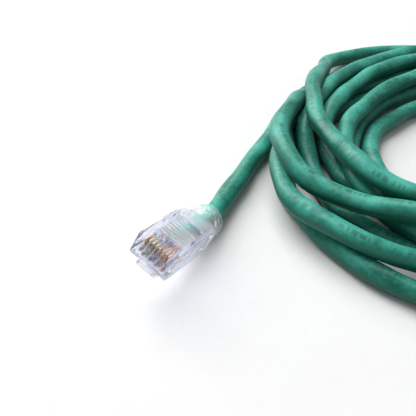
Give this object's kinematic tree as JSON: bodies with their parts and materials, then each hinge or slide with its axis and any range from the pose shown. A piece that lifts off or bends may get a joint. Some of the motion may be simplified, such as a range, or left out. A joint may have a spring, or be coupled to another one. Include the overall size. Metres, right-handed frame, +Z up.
{
  "type": "ethernet patch cable",
  "caption": "Coiled round green network patch cable with a clear modular plug, clear boot, gold contacts and spring latch at each end.",
  "frame": {"origin": "on the floor under the middle of plug A's box (plug A and its boot, without the cable and plug B)", "axes": "+Z up from the floor, +Y from plug A's nose towards its cable, +X to the right of plug A seen from its nose end, towards the coil"},
  "size_m": [0.14, 0.1824, 0.0187],
  "materials": {
    "clear_plastic": "clear moulded polycarbonate, faint violet tint",
    "clear_vinyl": "clear soft moulded plastic, slightly hazy",
    "gold_plate": "gold plating over bronze",
    "green_jacket": "satin extruded PVC, slightly lumpy",
    "wire_white_orange": "extruded wire insulation",
    "wire_orange": "extruded wire insulation",
    "wire_white_green": "extruded wire insulation",
    "wire_blue": "extruded wire insulation",
    "wire_white_blue": "extruded wire insulation",
    "wire_green": "extruded wire insulation",
    "wire_white_brown": "extruded wire insulation",
    "wire_brown": "extruded wire insulation"
  },
  "bodies": {
    "root": {"housing_a": "clear_plastic", "load_bar_a": "clear_plastic", "strain_relief_a": "clear_plastic", "boot_a": "clear_vinyl", "contact_a1": "gold_plate", "contact_a2": "gold_plate", "contact_a3": "gold_plate", "contact_a4": "gold_plate", "contact_a5": "gold_plate", "contact_a6": "gold_plate", "contact_a7": "gold_plate", "contact_a8": "gold_plate", "wire_a1": "wire_white_orange", "wire_a2": "wire_orange", "wire_a3": "wire_white_green", "wire_a4": "wire_blue", "wire_a5": "wire_white_blue", "wire_a6": "wire_green", "wire_a7": "wire_white_brown", "wire_a8": "wire_brown", "housing_b": "clear_plastic", "load_bar_b": "clear_plastic", "strain_relief_b": "clear_plastic", "boot_b": "clear_vinyl", "contact_b1": "gold_plate", "contact_b2": "gold_plate", "contact_b3": "gold_plate", "contact_b4": "gold_plate", "contact_b5": "gold_plate", "contact_b6": "gold_plate", "contact_b7": "gold_plate", "contact_b8": "gold_plate", "wire_b1": "wire_white_orange", "wire_b2": "wire_orange", "wire_b3": "wire_white_green", "wire_b4": "wire_blue", "wire_b5": "wire_white_blue", "wire_b6": "wire_green", "wire_b7": "wire_white_brown", "wire_b8": "wire_brown", "cable_lead": "green_jacket", "cable_tail": "green_jacket", "cable_coil": "green_jacket"},
    "latch_a": {"latch_a": "clear_plastic"},
    "latch_b": {"latch_b": "clear_plastic"}
  },
  "joints": [
    {"name": "latch_a_press", "type": "hinge", "parent": "root", "child": "latch_a", "pos_m": [-0.00148, -0.01352, 0.01021], "axis": [0.9426, -0.1158, -0.3131], "range_deg": [0, 12], "stiffness_Nm_per_rad": 0.3},
    {"name": "latch_b_press", "type": "hinge", "parent": "root", "child": "latch_b", "pos_m": [0.089, 0.0612, 0.0089], "axis": [-1, 0, 0], "range_deg": [0, 12], "stiffness_Nm_per_rad": 0.3}
  ]
}
